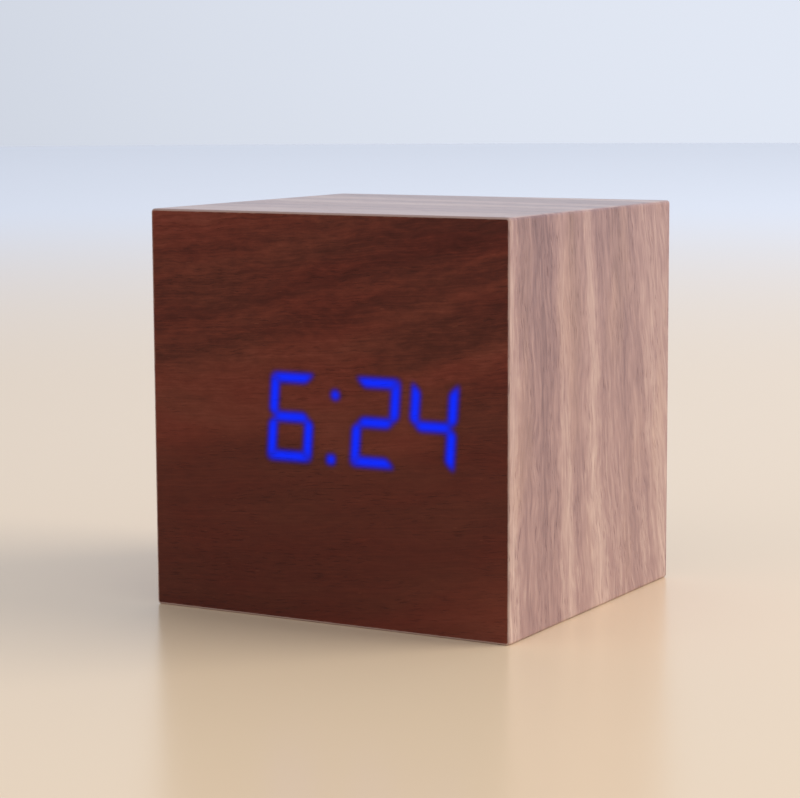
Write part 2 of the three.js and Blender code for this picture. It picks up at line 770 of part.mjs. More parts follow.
class ConeHelix extends THREE.Curve {
  constructor(wide, narrow, height, turns) {
    super();
    Object.assign(this, { wide, narrow, height, turns });
  }
  getPoint(t, target = new THREE.Vector3()) {
    const radius = this.wide + (this.narrow - this.wide) * t;
    const angle = 2 * Math.PI * this.turns * t;
    return target.set(t * this.height, radius * Math.cos(angle), radius * Math.sin(angle));
  }
}

// A conical contact spring on a plate, reaching towards +X from x = 0.
function springTip() {
  const wire = 0.35;
  const coil = swept(new ConeHelix(3.7, 2.2, 2.35, 2.5), wire, 32, 6);
  return coil.translate(wire - 0.1, 0, 0);
}

// The sheet-metal contacts. Plates lie against the tray's end walls and their tips reach inwards.
function makeContacts(bay) {
  const plateX = BAY.halfX - 0.02;
  const [half, low, high] = [4.2, CELL_Z - 4.3, CELL_Z + 4.3];
  const plate = (from, to) => span([-CONTACT, 0], [from, to], [low, high]);
  const dimple = (y) =>
    new THREE.CylinderGeometry(1, 1.6, 0.3, 16).rotateZ(-Math.PI / 2).translate(-0.1, y, CELL_Z);
  const spring = (y) => springTip().translate(0, y, CELL_Z);
  const tab = (y) => span([-CONTACT, 0], [y - 1.4, y + 1.4], [high - 0.5, BAY.top + 1.6]);
  const { pitch } = CELL;
  // Each is drawn for the end wall at -X. The pieces at +X are the same, turned half a turn about Z.
  const left = [-plateX + CONTACT, 0, 0];
  const right = [plateX - CONTACT, 0, 0];
  const flat = [0, 0, 0];
  const turnedRound = [0, 0, Math.PI];
  const negative = join(plate(-pitch - half, -pitch + half), spring(-pitch), tab(-pitch));
  place(bay, "negative_contact", negative, FINISH.steel, left, flat);
  const leftBridge = join(plate(-half, pitch + half), dimple(0), spring(pitch));
  place(bay, "bridge_contact_left", leftBridge, FINISH.steel, left, flat);
  const rightBridge = join(plate(-half, pitch + half), spring(0), dimple(pitch));
  place(bay, "bridge_contact_right", rightBridge, FINISH.steel, right, turnedRound);
  const positive = join(plate(-pitch - half, -pitch + half), dimple(-pitch), tab(-pitch));
  place(bay, "positive_contact", positive, FINISH.steel, right, turnedRound);
}

function makeDoor(bay) {
  const { halfX, bottom, thick, pinR, hinge, nose } = DOOR;
  const top = bottom + thick;
  const backY = BAY.halfY - 0.3;
  const frontY = -hinge - nose;
  const plate = span([-halfX, halfX], [frontY, backY], [bottom, top]);
  const reach = SKIRT.halfX + 0.8;
  const pins = [
    rodX(pinR, -reach, 1 - halfX, -hinge, DOOR_HINGE.z, 16),
    rodX(pinR, halfX - 1, reach, -hinge, DOOR_HINGE.z, 16),
  ];
  const ribs = [-12, 12].map((x) =>
    span([x - 0.6, x + 0.6], [-hinge + 2.5, backY - 6], [top - 0.2, top + 1]),
  );
  const nib = span([-4.5, 4.5], [backY - 0.5, backY + 0.75], [bottom + 0.9, top]);
  const slits = [-6, 6].map((x) =>
    span([x - 0.4, x + 0.4], [backY - 8, backY + 1], [bottom - 1, top + 1]),
  );
  const grips = [0, 1, 2].map((k) => {
    const y = backY - 2 - 1.5 * k;
    return span([-4.2, 4.2], [y - 0.35, y + 0.35], [bottom - 1, bottom + 0.4]);
  });
  const door = cut(join(plate, ...pins, ...ribs, nib), ...slits, ...grips);
  place(bay, "battery_door", door, FINISH.blackPlastic);
}

function makeLeads(parent) {
  const tabTop = BAY.top + 1.6;
  const x = BAY.halfX - 0.2;
  for (const [name, s, material] of [
    ["battery_lead_red", 1, FINISH.redWire],
    ["battery_lead_black", -1, FINISH.blackWire],
  ]) {
    const y = BAY.y + s * CELL.pitch;
    const route = new THREE.CatmullRomCurve3(
      [
        [s * x, y, tabTop + 0.3],
        [s * x, y - 0.2, tabTop + 2],
        [s * (x - 0.8), y - 2.5, tabTop + 4.5],
        [s * (x - 1.8), (y + MAIN_BOARD_BACK) / 2, tabTop + 3.2],
        [s * (x - 2.6), MAIN_BOARD_BACK + 5.5, tabTop + 3.6],
        [s * (x - 3), MAIN_BOARD_BACK + 2, tabTop + 4.2],
        [s * (x - 3), MAIN_BOARD_BACK + 0.3, tabTop + 4.2],
      ].map((p) => new THREE.Vector3(...p)),
    );
    place(parent, name, swept(route, LEAD_R, 24, 6), material);
  }
}

// ---------- assembly ----------
const woodwork = group(clock);
makeWalls(woodwork);
makeFront(woodwork);
makeRearEdge(woodwork);
makeCornerFixings(woodwork);

const electronics = group(clock);
makeDisplay(electronics);
makeMainBoard(electronics);
makeClockChip(electronics);
makeCrystal(electronics);
makeCapacitor(electronics);
makeCoinCell(electronics);
makeRibbon(electronics);

const controls = group(clock);
makeRearCover(controls);
makeRearBoard(controls);
["set", "up", "down"].forEach((name, k) => makeButton(controls, name, (1 - k) * BUTTON.pitch));
makeJack(controls);
makeBuzzer(controls);

const bay = group(clock, [0, BAY.y, 0]);
makeTray(bay);
makeCells(bay);
makeContacts(bay);
makeDoor(bay);
makeLeads(clock);

export default clock;
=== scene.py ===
"""A wooden block alarm clock, dressed over its CAD frame. Lengths are metres, or millimetres times MM."""
import json
import math

import bmesh
import bpy
import numpy as np
from mathutils import Matrix, Vector


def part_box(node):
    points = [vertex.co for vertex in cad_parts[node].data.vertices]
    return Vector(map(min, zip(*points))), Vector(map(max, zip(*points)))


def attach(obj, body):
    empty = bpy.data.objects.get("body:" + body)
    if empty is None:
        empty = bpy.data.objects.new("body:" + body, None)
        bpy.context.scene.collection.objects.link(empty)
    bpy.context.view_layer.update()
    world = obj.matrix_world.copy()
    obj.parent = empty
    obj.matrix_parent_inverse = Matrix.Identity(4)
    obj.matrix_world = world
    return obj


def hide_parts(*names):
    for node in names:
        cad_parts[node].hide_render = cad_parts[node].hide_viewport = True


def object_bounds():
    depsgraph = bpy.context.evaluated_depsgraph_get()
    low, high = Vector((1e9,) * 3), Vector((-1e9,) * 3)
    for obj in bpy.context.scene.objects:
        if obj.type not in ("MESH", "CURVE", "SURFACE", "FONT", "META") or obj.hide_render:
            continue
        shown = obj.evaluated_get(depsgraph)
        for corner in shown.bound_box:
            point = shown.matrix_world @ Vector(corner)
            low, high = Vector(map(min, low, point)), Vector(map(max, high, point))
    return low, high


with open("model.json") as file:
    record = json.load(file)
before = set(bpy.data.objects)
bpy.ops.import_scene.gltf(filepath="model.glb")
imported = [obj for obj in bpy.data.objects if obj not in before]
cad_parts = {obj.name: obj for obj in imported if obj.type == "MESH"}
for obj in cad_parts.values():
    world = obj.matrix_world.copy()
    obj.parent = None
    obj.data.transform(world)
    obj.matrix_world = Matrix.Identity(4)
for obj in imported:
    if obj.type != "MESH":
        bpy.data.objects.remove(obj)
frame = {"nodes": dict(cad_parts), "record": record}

MM = 0.001
cad_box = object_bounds()
scene = bpy.context.scene
low, high = cad_box
WIDTH = high.x - low.x
HEIGHT = high.z
HALF_WIDTH_MM = WIDTH / MM / 2
GLOW_ATTRIBUTE = "display_light"

# A battery cell's radius and the length of its can, in millimetres.
CELL_RADIUS = 5.25
CELL_CAN = 43.5


def middle(node):
    """The centre of a CAD node's box."""
    a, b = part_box(node)
    return (a + b) / 2


# ---------- camera ----------
AZIMUTH, ELEVATION, ROLL = math.radians(29.58), math.radians(7.34), math.radians(-0.26)
CAMERA_DISTANCE = 6.27 * WIDTH
CAMERA_ASIDE = -0.045 * WIDTH
LENS_MM = 109.7


def make_camera():
    """A camera to the right of the front and a little above it, aimed at the clock's middle height."""
    back = Vector((
        math.sin(AZIMUTH) * math.cos(ELEVATION),
        -math.cos(AZIMUTH) * math.cos(ELEVATION),
        math.sin(ELEVATION),
    ))
    level = Vector((math.cos(AZIMUTH), math.sin(AZIMUTH), 0))
    upright = back.cross(level)
    right = level * math.cos(ROLL) + upright * math.sin(ROLL)
    up = back.cross(right)
    place = Matrix((right, up, back)).transposed().to_4x4()
    place.translation = Vector((0, 0, HEIGHT / 2)) + back * CAMERA_DISTANCE + right * CAMERA_ASIDE
    data = bpy.data.cameras.new("camera")
    data.lens = LENS_MM
    data.clip_start = 0.01
    camera = bpy.data.objects.new("camera", data)
    camera.matrix_world = place
    scene.collection.objects.link(camera)
    scene.camera = camera


# ---------- shader building ----------
def srgb(red, green, blue):
    """A linear RGBA colour from 0-255 display values."""
    def linear(value):
        c = value / 255
        return c / 12.92 if c <= 0.04045 else ((c + 0.055) / 1.055) ** 2.4
    return (linear(red), linear(green), linear(blue), 1.0)


class Nodes:
    """Adds nodes to a node tree. Each method returns the new node's output, to use as another's input."""

    def __init__(self, tree):
        self.tree = tree

    def add(self, kind, inputs=None, output=0, **settings):
        node = self.tree.nodes.new("ShaderNode" + kind)
        for name, value in settings.items():
            setattr(node, name, value)
        for key, value in (inputs or {}).items():
            self.put(node.inputs[key], value)
        return node.outputs[output]

    def put(self, socket, value):
        if isinstance(value, bpy.types.NodeSocket):
            self.tree.links.new(value, socket)
        else:
            socket.default_value = value

    def math(self, operation, a, b=0.0, c=0.0, clamp=False):
        return self.add("Math", {0: a, 1: b, 2: c}, operation=operation, use_clamp=clamp)

    def times(self, a, b):
        return self.math("MULTIPLY", a, b)

    def plus(self, a, b):
        return self.math("ADD", a, b)

    def minus(self, a, b):
        return self.math("SUBTRACT", a, b)

    def weighted(self, *pairs):
        """The sum of value times weight over the pairs."""
        total = self.times(*pairs[0])
        for value, weight in pairs[1:]:
            total = self.math("MULTIPLY_ADD", value, weight, total)
        return total

    def smooth(self, value, start, end, low=0.0, high=1.0):
        """Goes smoothly from low at start to high at end. start may be above end."""
        return self.add(
            "MapRange", {0: value, 1: start, 2: end, 3: low, 4: high}, interpolation_type="SMOOTHSTEP"
        )

    def blend(self, amount, a, b, mode="MIX"):
        return self.add("Mix", {0: amount, 6: a, 7: b}, output=2, data_type="RGBA", blend_type=mode)

    def ramp(self, value, stops, interpolation="LINEAR"):
        """A colour for a value from 0 to 1. Each stop is (place, colour or grey level)."""
        node = self.tree.nodes.new("ShaderNodeValToRGB")
        node.color_ramp.interpolation = interpolation
        elements = node.color_ramp.elements
        while len(elements) < len(stops):
            elements.new(0.5)
        for element, (place, colour) in zip(elements, stops):
            element.position = place
        for element, (place, colour) in zip(elements, stops):
            element.color = colour if isinstance(colour, tuple) else (colour, colour, colour, 1)
        self.put(node.inputs[0], value)
        return node.outputs[0]

    def vector(self, x, y, z):
        return self.add("CombineXYZ", {0: x, 1: y, 2: z})

    def noise(self, vector, scale=1.0, detail=2.0, roughness=0.5, distortion=0.0):
        return self.add("TexNoise", {
            "Vector": vector, "Scale": scale, "Detail": detail,
            "Roughness": roughness, "Distortion": distortion,
        })

    def place_mm(self):
        """The point's place on the piece in millimetres, as a vector."""
        here = self.add("TexCoord", output="Object")
        return self.add("VectorMath", {0: here, 3: 1 / MM}, operation="SCALE")

    def axes(self, vector):
        """The x, y and z of a vector."""
        split = self.tree.nodes.new("ShaderNodeSeparateXYZ")
        self.put(split.inputs[0], vector)
        return list(split.outputs)

    def stretched(self, vector, factors):
        """A vector with each axis scaled by its own factor."""
        return self.add("VectorMath", {0: vector, 1: factors}, operation="MULTIPLY")


def new_material(name, roughness=0.5, metallic=0.0, coat=0.0, coat_roughness=0.2, specular=0.5):
    """A material and the helper for its nodes. The plain values sit on the shader's own sockets."""
    material = bpy.data.materials.new(name)
    material.use_nodes = True
    shader = material.node_tree.nodes["Principled BSDF"]
    shader.inputs["Roughness"].default_value = roughness
    shader.inputs["Metallic"].default_value = metallic
    shader.inputs["Coat Weight"].default_value = coat
    shader.inputs["Coat Roughness"].default_value = coat_roughness
    shader.inputs["Specular IOR Level"].default_value = specular
    return material, Nodes(material.node_tree), shader.inputs


def set_bump(n, inputs, height, depth_mm, strength=1.0):
    normal = n.add("Bump", {"Height": height, "Distance": depth_mm * MM, "Strength": strength})
    n.put(inputs["Normal"], normal)


# ---------- wood ----------
def fibres(n, along, across, seed):
    """Fine grain for coordinates in millimetres. Streaks, fibres and short dark pores all go from 0 to 1."""
    broad = n.noise(n.vector(n.times(along, 0.022), n.times(across, 0.45), seed), detail=3.0, roughness=0.55)
    fine = n.noise(n.vector(n.times(along, 0.07), n.times(across, 3.2), seed + 5), detail=4.0, roughness=0.62)
    at_dash = n.vector(n.times(along, 0.42), n.times(across, 4.6), seed + 11)
    dashes = n.noise(at_dash, detail=1.0, roughness=0.4)
    where = n.noise(n.vector(n.times(along, 0.05), n.times(across, 0.3), seed + 17), detail=1.0)
    pores = n.times(n.smooth(dashes, 0.60, 0.72), n.smooth(where, 0.35, 0.6))
    return broad, fine, pores


def bands(n, across, reach, stops):
    """The tone of the growth rings: a grey level for each place across the grain, in millimetres."""
    return n.ramp(n.math("DIVIDE", across, reach), [(mm / reach, tone) for mm, tone in stops], "B_SPLINE")


# The growth rings as (millimetres across the grain, grey level).
FRONT_RINGS = [
    (0, 0.85), (3, 0.75), (5, 0.5), (6.2, 0.6), (8, 0.2), (9.6, 0.55), (11, 0.4), (13, 0.15),
    (15.3, 0.45), (17, 0), (19.3, 0.55), (21, 0.4), (22.8, 0.05), (24.8, 0.6), (28, 0.65),
    (31, 0.6), (34, 0.7), (36, 0.65), (38, 0.35), (41, 0.25), (42.8, 0.35), (45, 0.2),
    (50, 0.3), (54, 0.25), (58, 0.2), (63, 0.25), (67, 0.35), (71, 0.6), (78, 0.75),
]
FRONT_REACH = 80
SIDE_RINGS = [
    (0, 0.95), (1.6, 0.9), (3, 0.4), (5.6, 0.3), (7.6, 0.5), (9.6, 0.15), (11.4, 0.4), (13.2, 0.25),
    (14.8, 0.7), (17, 0.85), (18.6, 0.65), (19.8, 0.25), (21.4, 0.45), (23.4, 0.6), (25.4, 1),
    (27.2, 0.85), (28.6, 0.45), (31, 0.5), (33.2, 0.6), (35.2, 0.35), (37.4, 0.3), (38.8, 0.65),
    (40.4, 0.55), (41.6, 0.3), (43, 0.7), (47, 0.85), (52, 0.75), (57, 0.8),
]
SIDE_REACH = 58
# Painted shade: the front's tones are partly the walnut's own colour and partly the shade of the face turned
# from the lamp, drawn darker than the sides.
FRONT_SHADED_TONES = [
    (0.0, srgb(70, 37, 31)), (0.3, srgb(92, 46, 37)), (0.55, srgb(113, 56, 43)),
    (0.8, srgb(131, 68, 54)), (1.0, srgb(149, 83, 67)),
]
# Painted light: the sides' pale pinkish tones are partly the walnut's own colour and partly the light and
# sheen of a brightly lit side.
SIDE_LIT_TONES = [
    (0.0, srgb(106, 77, 77)), (0.25, srgb(134, 102, 99)), (0.5, srgb(158, 124, 117)),
    (0.75, srgb(180, 149, 137)), (1.0, srgb(202, 173, 158)),
]
LIT_BLUE = srgb(2, 39, 250)
LIT_STRENGTH, LIT_FALLOFF = 1.15, 1.75


def front_wood():
    """Dark veneer with its rings sweeping up to the right. Its dark red-brown is partly the veneer's own tone
    and partly painted shade for the face turned from the lamp. The display shines through it.
    """
    material, n, inputs = new_material("front_wood_lit", 0.5, specular=0.1)
    place = n.place_mm()
    x, _, z = n.axes(place)
    along = n.plus(x, HALF_WIDTH_MM)
    down = n.minus(HEIGHT / MM, z)
    rise = n.times(along, n.math("MULTIPLY_ADD", along, 0.0014, 0.17))
    bulge = n.times(n.smooth(along, 18.0, 40.0), n.smooth(along, 62.0, 48.0))
    lower = n.times(n.smooth(down, 24.0, 34.0), n.smooth(down, 56.0, 42.0))
    drift = n.noise(n.vector(n.times(along, 0.03), n.times(down, 0.06), 3.0), detail=2.0)
    waver = n.noise(n.vector(n.times(along, 0.16), n.times(down, 0.22), 9.0), detail=2.0)
    wander = n.weighted((n.minus(drift, 0.5), 3.0), (n.minus(waver, 0.5), 1.6))
    across = n.plus(n.plus(down, rise), wander)
    ringed = n.plus(across, n.times(n.times(bulge, lower), -9.0))
    grain = n.weighted((down, 1.0), (rise, 0.34), (wander, 0.6))
    broad, fine, pores = fibres(n, along, grain, 2.0)
    rings = bands(n, ringed, FRONT_REACH, FRONT_RINGS)
    mottle = n.noise(n.vector(n.times(along, 0.36), n.times(grain, 1.1), 21.0), detail=3.0, roughness=0.6)
    dip = n.times(n.smooth(ringed, 24.5, 27.0), n.smooth(ringed, 34.5, 32.0))
    knot = n.times(n.smooth(along, 32.0, 50.0), dip)
    corner = n.times(n.smooth(along, 26.0, 60.0), n.smooth(across, 23.0, 17.0))
    rings = n.minus(rings, n.weighted((knot, 0.45), (corner, 0.22)))
    figure = n.weighted((mottle, 0.46), (fine, 0.26), (-0.36, 1.0))
    tone = n.weighted((rings, 0.58), (broad, 0.16), (fine, 0.24), (mottle, 0.22), (-0.11, 1.0))
    tone = n.plus(tone, n.times(figure, n.smooth(down, 40.0, 16.0)))
    tone = n.minus(tone, n.times(pores, 0.15))
    colour = n.ramp(tone, FRONT_SHADED_TONES)
    hue = n.noise(n.vector(n.times(along, 0.05), n.times(grain, 0.16), 51.0), detail=2.0)
    colour = n.blend(n.smooth(hue, 0.52, 0.36, 0.0, 0.28), colour, srgb(100, 56, 43), "COLOR")
    colour = n.blend(n.smooth(hue, 0.50, 0.66, 0.0, 0.24), colour, srgb(104, 42, 34), "COLOR")
    fleck = n.noise(n.vector(n.times(along, 0.5), n.times(grain, 3.0), 31.0), detail=1.0)
    colour = n.blend(n.smooth(fleck, 0.72, 0.82, 0.0, 0.22), colour, srgb(150, 88, 66))
    edge = n.math("MINIMUM", n.minus(HALF_WIDTH_MM, n.math("ABSOLUTE", x)), n.math("MINIMUM", z, down))
    worn = n.times(n.smooth(edge, 0.55, 0.12), n.smooth(n.noise(place, 0.7, 3.0), 0.42, 0.7))
    colour = n.blend(n.times(worn, 0.5), colour, srgb(196, 150, 128))
    height = n.weighted((fine, 0.5), (broad, 0.3))
    height = n.minus(height, n.times(pores, 1.1))
    light = n.add("Attribute", output="Fac", attribute_name=GLOW_ATTRIBUTE)
    veil = n.weighted((pores, -0.16), (fine, 0.10), (1.0, 0.95))
    shine = n.times(n.math("POWER", light, LIT_FALLOFF), veil)
    n.put(inputs["Emission Color"], n.blend(shine, srgb(0, 0, 0), LIT_BLUE))
    inputs["Emission Strength"].default_value = LIT_STRENGTH
    shade = n.math("POWER", n.math("SUBTRACT", 1.0, light, clamp=True), LIT_FALLOFF)
    colour = n.blend(shade, srgb(3, 3, 8), colour)
    n.put(inputs["Base Color"], colour)
    n.put(inputs["Roughness"], n.weighted((pores, 0.14), (fine, 0.16), (broad, 0.10), (1.0, 0.30)))
    set_bump(n, inputs, height, 0.035)
    return material


def side_wood(name, seed, layout="upright", coat=0.15):
    """Pale pinkish veneer: partly the veneer's own tone and partly painted light and sheen of a lit side. Its
    grain runs upright, across or round a mitred frame.
    """
    material, n, inputs = new_material(name, 0.5, coat=coat, coat_roughness=0.3)
    x, y, z = n.axes(n.place_mm())
    depth = n.plus(y, (high.y - low.y) / MM / 2)
    rightward = n.plus(x, HALF_WIDTH_MM)
    along = z if layout == "upright" else rightward
    if layout == "frame":
        beside = n.math("ABSOLUTE", x)
        above = n.math("ABSOLUTE", n.minus(z, HEIGHT / MM / 2))
        level = n.math("GREATER_THAN", above, beside)
        along = n.plus(n.times(level, rightward), n.times(n.minus(1.0, level), n.plus(z, 90.0)))
        depth = n.minus(HALF_WIDTH_MM, n.math("MAXIMUM", above, beside))
    fan = n.math("MULTIPLY_ADD", along, 0.0035, 0.80)
    drift = n.noise(n.vector(n.times(along, 0.035), n.times(depth, 0.05), seed + 1.0), detail=2.0)
    waver = n.noise(n.vector(n.times(along, 0.13), n.times(depth, 0.3), seed + 2.0), detail=1.0)
    jag = n.noise(n.vector(n.times(along, 0.5), n.times(depth, 0.7), seed + 3.0), detail=2.0)
    wander = n.weighted((n.minus(drift, 0.5), 4.0), (n.minus(waver, 0.5), 1.7))
    across = n.plus(n.times(depth, fan), wander)
    broad, fine, pores = fibres(n, along, across, seed)
    at_streak = n.vector(n.times(along, 0.09), n.times(across, 0.95), seed + 25.0)
    streaks = n.noise(at_streak, detail=3.0, roughness=0.6)
    ragged = n.weighted((across, 1.0), (n.minus(jag, 0.5), 2.2), (1.0, seed * 9.0))
    rings = bands(n, n.math("PINGPONG", ragged, SIDE_REACH), SIDE_REACH, SIDE_RINGS)
    at_curl = n.vector(n.times(along, 0.22), n.times(across, 1.5), seed + 33.0)
    curls = n.noise(at_curl, detail=2.0, distortion=0.35)
    tone = n.weighted((rings, 0.62), (broad, 0.22), (streaks, 0.62), (fine, 0.46), (curls, 0.56))
    tone = n.minus(tone, n.plus(n.times(pores, 0.24), 0.76))
    # Painted shade: upright veneers grow darker towards the top, standing in for the floor's bounced light
    # that falls off with height.
    if layout == "upright":
        tone = n.minus(tone, n.times(n.minus(along, 20.0), 0.0038))
    colour = n.ramp(tone, SIDE_LIT_TONES)
    hue = n.noise(n.vector(n.times(along, 0.03), n.times(depth, 0.12), seed + 40.0), detail=2.0)
    colour = n.blend(n.smooth(hue, 0.5, 0.75, 0.0, 0.2), colour, srgb(190, 152, 126))
    n.put(inputs["Base Color"], colour)
    n.put(inputs["Roughness"], n.weighted((pores, 0.16), (fine, 0.18), (1.0, 0.36)))
    set_bump(n, inputs, n.minus(n.weighted((fine, 0.6), (broad, 0.3)), n.times(pores, 1.2)), 0.04)
    return material


def fibreboard():
    material, n, inputs = new_material("fibreboard", 0.9, specular=0.2)
    place = n.place_mm()
    flakes = n.noise(place, 2.4, 4.0, 0.7, 0.6)
    clumps = n.noise(place, 0.5, 2.0)
    colour = n.ramp(n.weighted((flakes, 0.7), (clumps, 0.4)), [
        (0.25, srgb(96, 66, 42)), (0.5, srgb(150, 112, 76)), (0.8, srgb(190, 154, 112)),
    ])
    n.put(inputs["Base Color"], colour)
    n.put(inputs["Roughness"], n.weighted((flakes, 0.2), (1.0, 0.75)))
    set_bump(n, inputs, flakes, 0.08)
    return material


def softwood():
    material, n, inputs = new_material("softwood", 0.8, specular=0.3)
    x, y, z = n.axes(n.place_mm())
    wave = n.noise(n.vector(n.times(x, 0.1), n.times(y, 0.06), n.times(z, 1.1)), detail=4.0, roughness=0.6)
    n.put(inputs["Base Color"], n.ramp(wave, [(0.3, srgb(176, 128, 74)), (0.7, srgb(226, 190, 138))]))
    n.put(inputs["Roughness"], n.weighted((wave, 0.25), (1.0, 0.62)))
    set_bump(n, inputs, wave, 0.06)
    return material


# ---------- other materials ----------
def plastic(name, colour, roughness, grain_mm=0.22, grain_depth=0.02, variation=0.25):
    """Moulded plastic with an eroded-mould grain and faint flow marks."""
    material, n, inputs = new_material(name, roughness, specular=0.45)
    place = n.place_mm()
    grain = n.noise(place, 1 / grain_mm, 2.0, 0.6)
    marks = n.noise(place, 0.09, 3.0, 0.6, 0.8)
    scuffs = n.noise(n.stretched(place, (0.3, 0.9, 2.4)), 1.0, 4.0, 0.7)
    lighter = tuple(min(1.0, c * (1 + variation) + 0.004) for c in colour[:3]) + (1.0,)
    shade = n.weighted((marks, 0.6), (grain, 0.4))
    tone = n.ramp(shade, [(0.3, colour), (0.7, lighter)])
    dust = n.smooth(scuffs, 0.62, 0.8, 0.0, 0.12)
    n.put(inputs["Base Color"], n.blend(dust, tone, srgb(150, 148, 146)))
    n.put(inputs["Roughness"], n.weighted((grain, 0.14), (marks, 0.12), (1.0, roughness - 0.13)))
    set_bump(n, inputs, grain, grain_depth)
    return material


def metal(name, colour, roughness, streak=(1.0, 1.0, 1.0), tarnish=srgb(120, 112, 100)):
    """Plated metal with fine working marks and a little tarnish."""
    material, n, inputs = new_material(name, roughness, metallic=1.0)
    place = n.place_mm()
    marks = n.noise(n.stretched(place, streak), 3.0, 4.0, 0.65)
    cloud = n.noise(place, 0.35, 3.0, 0.6)
    stained = n.smooth(cloud, 0.52, 0.78, 0.0, 0.4)
    darker = tuple(c * 0.75 for c in colour[:3]) + (1.0,)
    tone = n.blend(n.smooth(marks, 0.35, 0.7), darker, colour)
    n.put(inputs["Base Color"], n.blend(stained, tone, tarnish))
    n.put(inputs["Roughness"], n.weighted((marks, 0.2), (cloud, 0.15), (1.0, roughness - 0.12)))
    set_bump(n, inputs, marks, 0.008)
    return material


def circuit_board():
    """Green solder mask over fine copper tracks."""
    material, n, inputs = new_material("circuit_board", 0.4, coat=0.3, coat_roughness=0.15)
    place = n.place_mm()
    x, _, z = n.axes(place)
    tracks = n.add("TexBrick", {
        "Vector": n.vector(n.plus(x, z), n.minus(z, x), 0.0), "Scale": 0.16, "Mortar Size": 0.022,
        "Mortar Smooth": 0.3, "Brick Width": 0.9, "Row Height": 0.28,
    }, output="Fac")
    weave = n.noise(place, 1.6, 2.0)
    mask = n.ramp(weave, [(0.35, srgb(16, 74, 40)), (0.7, srgb(26, 98, 54))])
    n.put(inputs["Base Color"], n.blend(n.times(tracks, 0.55), mask, srgb(56, 138, 72)))
    n.put(inputs["Roughness"], n.weighted((weave, 0.2), (1.0, 0.3)))
    set_bump(n, inputs, tracks, 0.03)
    return material


def cell_sleeve():
    """A battery cell's plain printed sleeve, with bare metal at its ends. The cell lies along its own X."""
    material, n, inputs = new_material("cell_sleeve", 0.32, coat=0.5, coat_roughness=0.12)
    place = n.place_mm()
    x, y, z = n.axes(place)
    cream = srgb(226, 222, 208)
    printed = n.ramp(n.math("DIVIDE", x, CELL_CAN), [
        (0.0, srgb(30, 66, 54)), (0.03, srgb(20, 54, 44)), (0.70, srgb(24, 62, 50)), (0.705, cream),
        (0.725, cream), (0.73, srgb(176, 104, 52)), (0.97, srgb(196, 124, 66)), (1.0, srgb(184, 112, 58)),
    ])
    scuffs = n.noise(n.vector(n.times(x, 0.25), n.times(y, 1.6), n.times(z, 1.6)), detail=4.0, roughness=0.7)
    shimmer = n.noise(place, 5.0, 2.0, 0.6)
    printed = n.blend(n.smooth(scuffs, 0.55, 0.8, 0.03, 0.16), printed, srgb(236, 236, 230))
    radius = n.math("SQRT", n.plus(n.times(y, y), n.times(z, z)))
    sleeved = n.smooth(radius, CELL_RADIUS - 0.75, CELL_RADIUS - 0.6)
    steel = n.blend(n.noise(place, 2.5, 3.0), srgb(176, 178, 182), srgb(214, 216, 220))
    n.put(inputs["Base Color"], n.blend(sleeved, steel, printed))
    n.put(inputs["Metallic"], n.minus(1.0, sleeved))
    n.put(inputs["Roughness"], n.weighted((shimmer, 0.10), (scuffs, 0.16), (1.0, 0.16)))
    set_bump(n, inputs, shimmer, 0.006)
    return material


def light_guide():
    material, n, inputs = new_material("light_guide", 0.35, specular=0.5)
    place = n.place_mm()
    cloud = n.noise(place, 0.7, 3.0)
    n.put(inputs["Base Color"], n.ramp(cloud, [(0.3, srgb(206, 214, 232)), (0.7, srgb(232, 238, 248))]))
    n.put(inputs["Roughness"], n.weighted((cloud, 0.24), (1.0, 0.22)))
    set_bump(n, inputs, cloud, 0.02)
    return material


# ---------- meshes ----------
def to_object(name, mesh, materials, sharp_degrees=30):
    """Turns a bmesh into a shown object, smooth except at sharp edges."""
    bmesh.ops.recalc_face_normals(mesh, faces=mesh.faces)
    data = bpy.data.meshes.new(name)
    mesh.to_mesh(data)
    mesh.free()
    for material in materials:
        data.materials.append(material)
    data.shade_smooth()
    data.set_sharp_from_angle(angle=math.radians(sharp_degrees))
    obj = bpy.data.objects.new(name, data)
    scene.collection.objects.link(obj)
    return obj


def loft(mesh, rings, caps=True, closed=False, material_index=0):
    """Adds a skin through rings of points. It has flat ends, or none, or its last ring joins its first."""
    loops = [[mesh.verts.new(point) for point in ring] for ring in rings]
    faces = []
    for near, far in zip(loops, loops[1:] + (loops[:1] if closed else [])):
        for k in range(len(near)):
            j = (k + 1) % len(near)
            faces.append(mesh.faces.new((near[k], near[j], far[j], far[k])))
    if caps and not closed:
        faces.append(mesh.faces.new(loops[0][::-1]))
        faces.append(mesh.faces.new(loops[-1]))
    for face in faces:
        face.material_index = material_index
    return loops


def turned(mesh, profile, sides=48, turn=None, material_index=0):
    """Adds a solid of revolution about Y, with flat ends. The profile is a list of (radius, y)."""
    angles = [2 * math.pi * k / sides for k in range(sides)]
    rings = [[Vector((r * math.cos(a), y, r * math.sin(a))) for a in angles] for r, y in profile]
    if turn:
        rings = [[turn @ point for point in ring] for ring in rings]
    return loft(mesh, rings, material_index=material_index)


def rounded_ring(half_x, half_z, radius, y, centre, steps=8):
    """A rounded rectangle across Y, anticlockwise seen from the front, from its right-hand side."""
    points = []
    for corner, (sx, sz) in enumerate(((1, 1), (-1, 1), (-1, -1), (1, -1))):
        for k in range(steps + 1):
            angle = math.pi / 2 * (corner + k / steps)
            points.append(Vector((
                centre[0] + sx * (half_x - radius) + radius * math.cos(angle),
                y,
                centre[1] + sz * (half_z - radius) + radius * math.sin(angle),
            )))
    return points


